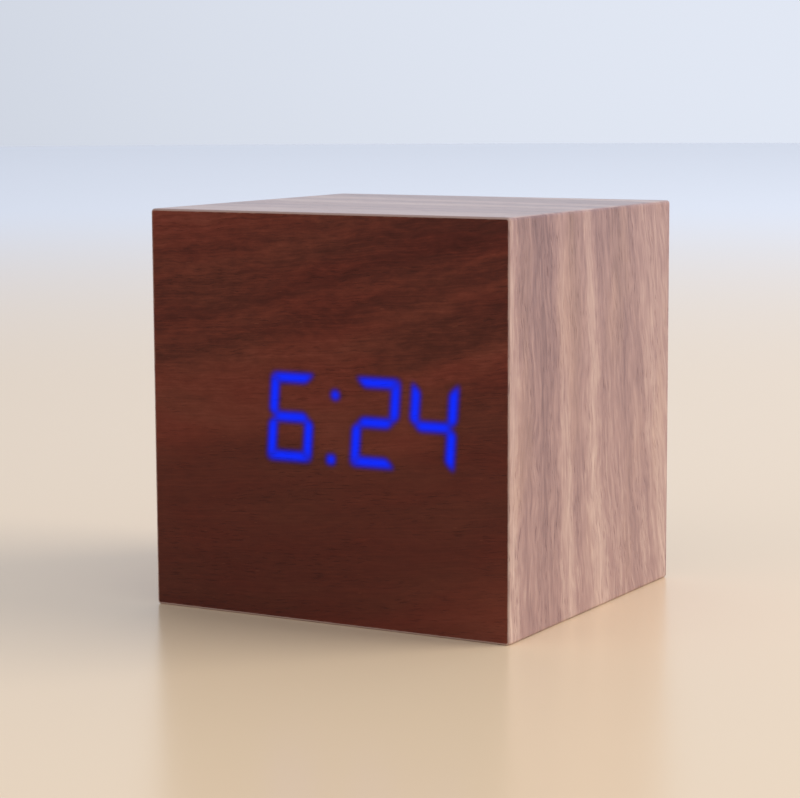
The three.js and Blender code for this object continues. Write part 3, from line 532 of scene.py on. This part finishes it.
# ---------- display ----------
DIGIT_WIDTH, DIGIT_HEIGHT, BAR, MITRE = 7.8, 13.4, 1.5, 0.15
SLANT = math.tan(math.radians(4.25))
DIGIT_PITCH, COLON_SPACE = 9.7, 4.9
UPPER_DOT, DOT_RADIUS = (0.45, 3.75), 0.8
LOWER_DOT, DOT_HALF = (-0.4, -6.0), 0.75
SHOWN = {1: "acdefg", 2: "abdeg", 3: "bcfg"}
SCATTER = 0.41
CELL_MM, CELLS_PER_STEP = 0.05, 4


def bar_outlines():
    """The seven bars of one digit about its middle, in millimetres, by their usual letters."""
    w, h, t, g = DIGIT_WIDTH / 2, DIGIT_HEIGHT / 2, BAR, MITRE
    top = [(-w + g, h), (w - g, h), (w - t - g, h - t), (-w + t + g, h - t)]
    side = [(w, h - g), (w, t / 2 + g), (w - t / 2, g), (w - t, t / 2 + g), (w - t, h - t - g)]
    centre = [
        (-w + t + g, t / 2), (w - t - g, t / 2), (w - t / 2 - g, 0),
        (w - t - g, -t / 2), (-w + t + g, -t / 2), (-w + t / 2 + g, 0),
    ]
    def flip_x(points):
        return [(-x, z) for x, z in points]
    def flip_z(points):
        return [(x, -z) for x, z in points]
    return {
        "a": top, "b": side, "c": flip_z(side), "d": flip_z(top),
        "e": flip_x(flip_z(side)), "f": flip_x(side), "g": centre,
    }


def slanted(points, middle_x=0.0, middle_z=0.0):
    return [(middle_x + x + z * SLANT, middle_z + z) for x, z in points]


def lit_outlines():
    """Every lit bar and dot, about the display's middle, in millimetres."""
    inner = (DIGIT_PITCH + COLON_SPACE) / 2
    centres = [-inner - DIGIT_PITCH, -inner, inner, inner + DIGIT_PITCH]
    bars = bar_outlines()
    outlines = []
    for digit, letters in SHOWN.items():
        outlines += [slanted(bars[letter], centres[digit]) for letter in letters]
    angles = [2 * math.pi * k / 24 for k in range(24)]
    outlines.append([
        (UPPER_DOT[0] + DOT_RADIUS * math.cos(a), UPPER_DOT[1] + DOT_RADIUS * math.sin(a)) for a in angles
    ])
    s = DOT_HALF
    outlines.append(slanted([(-s, -s), (s, -s), (s, s), (-s, s)], *LOWER_DOT))
    return outlines


def coverage(outline, x, z):
    """How much of the cell at each point a convex outline covers, from 0 to 1."""
    corners = np.array(outline)
    middle_x, middle_z = corners.mean(axis=0)
    outside = np.full(x.shape, -np.inf)
    for (ax, az), (bx, bz) in zip(corners, np.roll(corners, -1, axis=0)):
        length = math.hypot(bx - ax, bz - az)
        across_x, across_z = (bz - az) / length, (ax - bx) / length
        if (middle_x - ax) * across_x + (middle_z - az) * across_z > 0:
            across_x, across_z = -across_x, -across_z
        outside = np.maximum(outside, (x - ax) * across_x + (z - az) * across_z)
    return np.clip(0.5 - outside / CELL_MM, 0, 1)


def display_light():
    """The light that comes through the veneer, from 0 to 1, on a grid of columns and rows in millimetres."""
    outlines = lit_outlines()
    margin = 4 * SCATTER
    xs = [x for outline in outlines for x, _ in outline]
    zs = [z for outline in outlines for _, z in outline]
    columns = np.arange(min(xs) - margin, max(xs) + margin, CELL_MM)
    rows = np.arange(min(zs) - margin, max(zs) + margin, CELL_MM)
    x, z = np.meshgrid(columns, rows)
    light = np.max([coverage(outline, x, z) for outline in outlines], axis=0)
    reach = int(3 * SCATTER / CELL_MM)
    kernel = np.exp(-0.5 * (np.arange(-reach, reach + 1) * CELL_MM / SCATTER) ** 2)
    kernel /= kernel.sum()
    for axis in (0, 1):
        light = np.apply_along_axis(np.convolve, axis, light, kernel, "same")
    step = CELLS_PER_STEP
    return columns[::step], rows[::step], light[::step, ::step]


# How far the front's edge is rounded, and its corners.
ARRIS = 0.3 * MM
CORNER = 0.6 * MM
ARRIS_STEPS = 4


def make_front():
    """The front veneer. Its middle is a fine grid whose points hold the light that comes through there."""
    start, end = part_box("front_veneer")
    centre = ((start.x + end.x) / 2, (start.z + end.z) / 2)
    half = (end.x - start.x) / 2
    display = middle("display_housing")
    columns, rows, light = display_light()

    mesh = bmesh.new()
    glow = mesh.verts.layers.float.new(GLOW_ATTRIBUTE)
    def ring(inset, y):
        return rounded_ring(half - inset, half - inset, max(CORNER - inset, 0.1 * MM), y, centre)
    rings = [ring(0.0, end.y), ring(0.0, start.y + ARRIS)]
    for k in range(1, ARRIS_STEPS + 1):
        angle = math.pi / 2 * k / ARRIS_STEPS
        rings.append(ring(ARRIS * (1 - math.cos(angle)), start.y + ARRIS * (1 - math.sin(angle))))
    loops = loft(mesh, rings, caps=False, material_index=1)
    mesh.faces.new(loops[0][::-1]).material_index = 1
    rim = loops[-1]

    grid = []
    for z, row_light in zip(rows, light):
        row = [mesh.verts.new((display.x + x * MM, start.y, display.z + z * MM)) for x in columns]
        for vertex, value in zip(row, row_light):
            vertex[glow] = value
        grid.append(row)
    for below, above in zip(grid, grid[1:]):
        for k in range(len(columns) - 1):
            mesh.faces.new((below[k], below[k + 1], above[k + 1], above[k]))
    quarter = len(rim) // 4
    turn = quarter // 2
    def rim_side(side):
        return [rim[(side * quarter + turn + k) % len(rim)] for k in range(quarter + 1)]
    inner_sides = [
        grid[-1], [row[0] for row in grid], grid[0][::-1], [row[-1] for row in reversed(grid)],
    ]
    for side, inner in enumerate(inner_sides):
        mesh.faces.new(rim_side(side) + list(inner))

    front = to_object("front_face", mesh, [front_wood(), side_wood("front_edge_wood", 0.0)], 25)
    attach(front, "case")
    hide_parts("front_veneer")


# ---------- controls ----------
# Sizes of a button cap and of its marks.
CAP_RADIUS, STEM_RADIUS = 2.8 * MM, 1.6 * MM
CAP_ROUNDING = 0.45 * MM
COVER_THICKNESS = 2 * MM
FLANGE_GAP, FLANGE_THICKNESS = 0.2 * MM, 1.2 * MM
DISH_DEPTH = 0.22 * MM
MARK_FOOT, MARK_TOP = 0.24 * MM, 0.06 * MM
RING_OUTER, RING_INNER = 0.95 * MM, 0.65 * MM
ARROW_HALF, ARROW_BASE, ARROW_TIP = 1.05 * MM, 0.63 * MM, 1.0 * MM
CURVE_STEPS = 6


def make_button(name, add_mark):
    """A button cap with a dished top and a raised mark."""
    start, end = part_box(name)
    at = middle(name)
    flange, tip = (end.x - start.x) / 2, end.y
    flange_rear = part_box("rear_cover")[1].y - COVER_THICKNESS - FLANGE_GAP
    flange_front = flange_rear - FLANGE_THICKNESS
    rim = CAP_RADIUS - CAP_ROUNDING
    mesh = bmesh.new()
    profile = [(STEM_RADIUS, start.y), (STEM_RADIUS, flange_front), (flange, flange_front)]
    profile += [(flange, flange_rear), (CAP_RADIUS, flange_rear), (CAP_RADIUS, tip - CAP_ROUNDING)]
    for k in range(1, CURVE_STEPS + 1):
        angle = math.pi / 2 * k / CURVE_STEPS
        profile.append((rim + CAP_ROUNDING * math.cos(angle), tip - CAP_ROUNDING * (1 - math.sin(angle))))
    for k in range(1, CURVE_STEPS + 1):
        share = k / CURVE_STEPS
        dish = DISH_DEPTH * (1 - math.cos(math.pi / 2 * share))
        profile.append((rim * (1 - share * 0.97), tip - dish * (2 - share)))
    turned(mesh, profile, 64, Matrix.Translation((at.x, 0, at.z)))
    add_mark(mesh, at, tip - MARK_FOOT, tip - MARK_TOP)
    cap = to_object(name + "_cap", mesh, [materials["button_plastic"], materials["mark_paint"]], 32)
    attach(cap, name)
    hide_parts(name)


def ring_mark(mesh, at, inner, outer):
    """A raised ring about a cap's middle, between two places along Y."""
    turns = [2 * math.pi * k / 40 for k in range(40)]
    def circle(radius, y):
        return [Vector((at.x + radius * math.cos(a), y, at.z + radius * math.sin(a))) for a in turns]
    wide, narrow = RING_OUTER, RING_INNER
    rings = [circle(wide, inner), circle(wide, outer), circle(narrow, outer), circle(narrow, inner)]
    loft(mesh, rings, closed=True, material_index=1)


def arrow_mark(way):
    """A function that adds a raised triangle to a cap, pointing up for a way of 1 and down for -1."""
    corners = [(-ARROW_HALF, -ARROW_BASE * way), (ARROW_HALF, -ARROW_BASE * way), (0, ARROW_TIP * way)]
    def add(mesh, at, inner, outer):
        rings = [[Vector((at.x + x, y, at.z + z)) for x, z in corners] for y in (inner, outer)]
        loft(mesh, rings, material_index=1)
    return add


# ---------- battery cells ----------
def make_cell(name):
    """An AAA cell along its own X, from its flat end at zero to its nub."""
    start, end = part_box(name)
    nub_right = middle(name).x > 0
    r = CELL_RADIUS
    flat_end = [(1.0, 0.12), (3.2, 0.12), (3.5, 0.3), (4.3, 0.3), (4.5, 0), (4.9, 0), (r - 0.1, 0.12)]
    crimp = [(r, 0.4), (r, 41.6), (r - 0.12, 41.9), (r - 0.16, 42.2), (r - 0.05, 42.5), (r - 0.2, 43.4)]
    shoulder = [(4.7, 43.5), (4.5, 43.3), (3.4, 43.3), (2.6, 43.5), (1.95, 43.5)]
    nub = [(1.9, 44.25), (1.7, 44.5), (0.5, 44.5)]
    mesh = bmesh.new()
    profile = [(radius * MM, y * MM) for radius, y in flat_end + crimp + shoulder + nub]
    turned(mesh, profile, 64, Matrix.Rotation(-math.pi / 2, 4, "Z"))
    cell = to_object(name + "_can", mesh, [materials["cell_sleeve"]], 30)
    at = middle(name)
    heel = start.x if nub_right else end.x
    turn = Matrix.Rotation(0 if nub_right else math.pi, 4, "Z")
    cell.matrix_world = Matrix.Translation((heel, at.y, at.z)) @ turn
    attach(cell, "case")
    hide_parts(name)


# ---------- carried-over CAD nodes ----------
def soften(node, width_mm=0.12):
    """Rounds a CAD node's sharp edges with modifiers, leaving its mesh as it is."""
    obj = frame["nodes"][node]
    weld = obj.modifiers.new("weld", "WELD")
    weld.merge_threshold = 1e-7
    flatten = obj.modifiers.new("flatten", "DECIMATE")
    flatten.decimate_type = "DISSOLVE"
    flatten.angle_limit = math.radians(1)
    bevel = obj.modifiers.new("bevel", "BEVEL")
    bevel.width = width_mm * MM
    bevel.segments = 2
    bevel.limit_method = "ANGLE"
    bevel.angle_limit = math.radians(35)
    bevel.harden_normals = True
    tidy = obj.modifiers.new("tidy", "WELD")
    tidy.merge_threshold = 2e-6


def dress(record):
    """Gives every CAD node that still shows its own material, or its slot's."""
    for part in record["subparts"]:
        node, slot = part["node"], part["material_slot"]
        if node == "front_veneer":
            continue
        for place in frame["nodes"][node].material_slots:
            place.material = special.get(node) or materials[slot]


# ---------- studio ----------
PALE_FLOOR = srgb(232, 206, 172)
BACKDROP = srgb(233, 237, 246)
FLOOR_RADIUS = 3.0
FADE_START_MM, FADE_END_MM = 250.0, 1300.0


def make_studio():
    """A plain pale floor that fades to the backdrop, a soft sky and two soft lamps."""
    mesh = bmesh.new()
    bmesh.ops.create_circle(mesh, cap_ends=True, segments=96, radius=FLOOR_RADIUS)
    data = bpy.data.meshes.new("floor")
    mesh.to_mesh(data)
    mesh.free()
    floor = bpy.data.objects.new("floor", data)
    scene.collection.objects.link(floor)
    material, n, inputs = new_material("floor", 0.24, specular=0.28)
    x, y, _ = n.axes(n.place_mm())
    away = n.math("SQRT", n.plus(n.times(x, x), n.times(y, y)))
    far = n.smooth(away, FADE_START_MM, FADE_END_MM)
    n.put(inputs["Base Color"], n.blend(far, PALE_FLOOR, BACKDROP))
    data.materials.append(material)

    world = bpy.data.worlds.new("studio")
    world.use_nodes = True
    scene.world = world
    n = Nodes(world.node_tree)
    toward = n.add("TexCoord", output="Generated")
    window = Vector((0.72, 0.58, 0.38)).normalized()
    facing = n.add("VectorMath", {0: toward, 1: window}, output="Value", operation="DOT_PRODUCT")
    strength = n.smooth(facing, -0.8, 0.35, 0.32, 1.04)
    background = world.node_tree.nodes["Background"]
    background.inputs["Color"].default_value = srgb(222, 228, 240)
    n.put(background.inputs["Strength"], strength)

    def area(name, place, size, watts, colour):
        lamp = bpy.data.lights.new(name, "AREA")
        lamp.shape = "SQUARE"
        lamp.size = size
        lamp.energy = watts
        lamp.color = colour
        obj = bpy.data.objects.new(name, lamp)
        obj.location = place
        aim = Vector((0, 0, HEIGHT / 2)) - obj.location
        obj.rotation_euler = aim.to_track_quat("-Z", "Y").to_euler()
        obj.visible_glossy = False
        scene.collection.objects.link(obj)
    area("key", (1.6, 0.8, 0.95), 1.4, 34, (1.0, 0.97, 0.93))
    area("fill", (-0.9, -1.6, 1.3), 1.6, 5, (0.95, 0.97, 1.0))
    scene.view_settings.view_transform = "Standard"


# ---------- assembly ----------
make_camera()
make_studio()

materials = {
    "side_wood": side_wood("side_wood", 0.0),
    "fibreboard": fibreboard(),
    "softwood": softwood(),
    "cover_plastic": plastic("cover_plastic", srgb(30, 30, 32), 0.55, 0.28, 0.03),
    "button_plastic": plastic("button_plastic", srgb(52, 52, 55), 0.42, 0.5, 0.01),
    "mark_paint": plastic("mark_paint", srgb(206, 206, 200), 0.5, 0.2, 0.01),
    "bay_plastic": plastic("bay_plastic", srgb(28, 28, 30), 0.55, 0.28, 0.03),
    "dark_screw": metal("dark_screw", srgb(74, 74, 80), 0.38),
    "display_plastic": plastic("display_plastic", srgb(22, 22, 22), 0.6),
    "light_guide": light_guide(),
    "circuit_board": circuit_board(),
    "component_black": plastic("component_black", srgb(26, 26, 28), 0.5),
    "capacitor_sleeve": plastic("capacitor_sleeve", srgb(30, 36, 58), 0.3, 0.8, 0.01),
    "bright_metal": metal("bright_metal", srgb(206, 207, 210), 0.26, (0.4, 3.0, 3.0)),
    "spring_steel": metal("spring_steel", srgb(194, 194, 192), 0.32, (3.0, 0.5, 3.0)),
    "header_plastic": plastic("header_plastic", srgb(226, 222, 208), 0.45, 0.6, 0.01, 0.08),
    "plunger_plastic": plastic("plunger_plastic", srgb(222, 222, 214), 0.4, 0.6, 0.01, 0.08),
    "ribbon_sleeve": plastic("ribbon_sleeve", srgb(150, 154, 162), 0.5, 0.9, 0.02, 0.15),
    "cell_sleeve": cell_sleeve(),
    "red_wire": plastic("red_wire", srgb(168, 28, 26), 0.4, 0.6, 0.01),
    "black_wire": plastic("black_wire", srgb(24, 24, 24), 0.4, 0.6, 0.01),
}
special = {
    "left_veneer": side_wood("left_wood", 12.9),
    "top_veneer": side_wood("top_wood", 7.0, "across", 0.6),
    "bottom_veneer": side_wood("bottom_wood", 11.0, "across"),
    "rear_edge_veneer": side_wood("rear_edge_wood", 15.0, "frame"),
}
make_front()
make_button("set_button", ring_mark)
make_button("up_button", arrow_mark(1))
make_button("down_button", arrow_mark(-1))
for number in (1, 2, 3):
    make_cell(f"battery_cell_{number}")
dress(frame["record"])
for node in ("rear_cover", "battery_door", "battery_tray", "power_jack"):
    soften(node)
